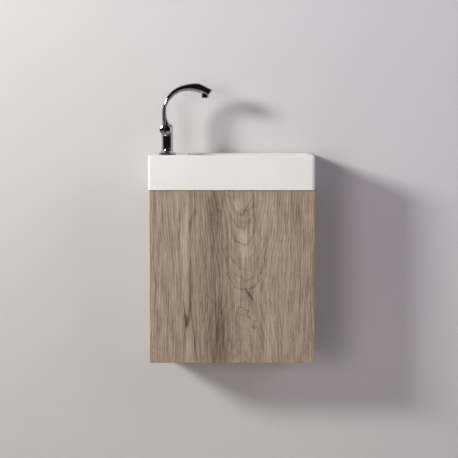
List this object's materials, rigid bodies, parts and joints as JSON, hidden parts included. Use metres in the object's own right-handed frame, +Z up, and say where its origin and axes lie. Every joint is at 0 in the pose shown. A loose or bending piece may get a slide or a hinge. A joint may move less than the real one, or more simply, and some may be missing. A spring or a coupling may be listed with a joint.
{
  "type": "wall hung vanity unit",
  "caption": "Small wall hung cloakroom vanity: slim white ceramic basin with a swan neck mixer tap on a greyed oak cabinet with one plain door.",
  "frame": {"origin": "on the wall plane, midway between the two wall screw holes of the hanging rail", "axes": "+Z up, +Y into the wall, the front faces -Y, +X to the right as seen from the front"},
  "size_m": [0.4, 0.22, 0.6733],
  "materials": {
    "ceramic": "white, high gloss glaze",
    "door_oak": "greyed oak with an upright grain, matt",
    "carcass_oak": "greyed oak faced board, matt",
    "dowel_wood": "plain beech",
    "silicone": "pale, soft",
    "nickel": "nickel plated pressed steel",
    "steel": "bright zinc plate",
    "chrome": "polished",
    "brass": "turned, dull",
    "rubber": "black",
    "grey_plastic": "moulded",
    "white_plastic": "moulded, white"
  },
  "bodies": {
    "carcass": {"arm_screws": "steel", "base_panel": "carcass_oak", "basin": "ceramic", "basin_seal": "silicone", "carcass_dowels": "dowel_wood", "front_rail": "carcass_oak", "hanging_rail": "carcass_oak", "hinge_arm_lower": "nickel", "hinge_arm_pins": "steel", "hinge_arm_upper": "nickel", "hinge_plate_lower": "nickel", "hinge_plate_upper": "nickel", "lower_rail": "carcass_oak", "plate_screws": "steel", "side_panel_left": "carcass_oak", "side_panel_right": "carcass_oak", "tap_aerator": "chrome", "tap_base": "chrome", "tap_cartridge": "grey_plastic", "tap_cartridge_ring": "brass", "tap_clamp_gasket": "rubber", "tap_clamp_plate": "steel", "tap_foot_seal": "rubber", "tap_head": "chrome", "tap_stud": "steel", "tap_stud_nut": "brass", "tap_trim_ring": "chrome", "trap_body": "white_plastic", "trap_cup": "white_plastic", "trap_inlet_nut": "white_plastic", "trap_inlet_tube": "white_plastic", "trap_neck_nut": "white_plastic", "trap_outlet_nut": "white_plastic", "trap_seals": "rubber", "waste_backnut": "brass", "waste_body": "chrome", "waste_clicker": "grey_plastic", "waste_gasket": "rubber", "waste_pipe": "white_plastic", "waste_washer": "rubber"},
    "hinge_links": {"hinge_link_upper": "nickel", "hinge_link_lower": "nickel"},
    "door": {"door": "door_oak", "hinge_cup_upper": "nickel", "hinge_cup_lower": "nickel", "hinge_cup_pins": "steel", "cup_screws": "steel", "door_bumpers": "silicone"},
    "tap_hub": {"tap_hub": "chrome", "tap_lever_pin": "steel"},
    "tap_lever": {"tap_lever": "chrome"},
    "waste_plug": {"waste_plug": "chrome"}
  },
  "joints": [
    {"name": "link_swing", "type": "hinge", "parent": "carcass", "child": "hinge_links", "pos_m": [0.159, -0.197, -0.15], "axis": [0, 0, 1], "range_deg": [-20, 0]},
    {"name": "door_swing", "type": "hinge", "parent": "hinge_links", "child": "door", "pos_m": [0.1885, -0.2042, -0.15], "axis": [0, 0, 1], "range_deg": [0, 120]},
    {"name": "hub_turn", "type": "hinge", "parent": "carcass", "child": "tap_hub", "pos_m": [-0.1623, -0.13473, 0.1995], "axis": [0.165, 0.9863, 0], "range_deg": [-45, 45]},
    {"name": "lever_lift", "type": "hinge", "parent": "tap_hub", "child": "tap_lever", "pos_m": [-0.16364, -0.14271, 0.1925], "axis": [0.9863, -0.165, 0], "range_deg": [0, 25]},
    {"name": "plug_lift", "type": "slide", "parent": "carcass", "child": "waste_plug", "axis": [0, 0, 1], "range_m": [0, 0.008]}
  ],
  "couplings": [
    {"joint": "link_swing", "follows": "door_swing", "ratio": -0.16667}
  ]
}
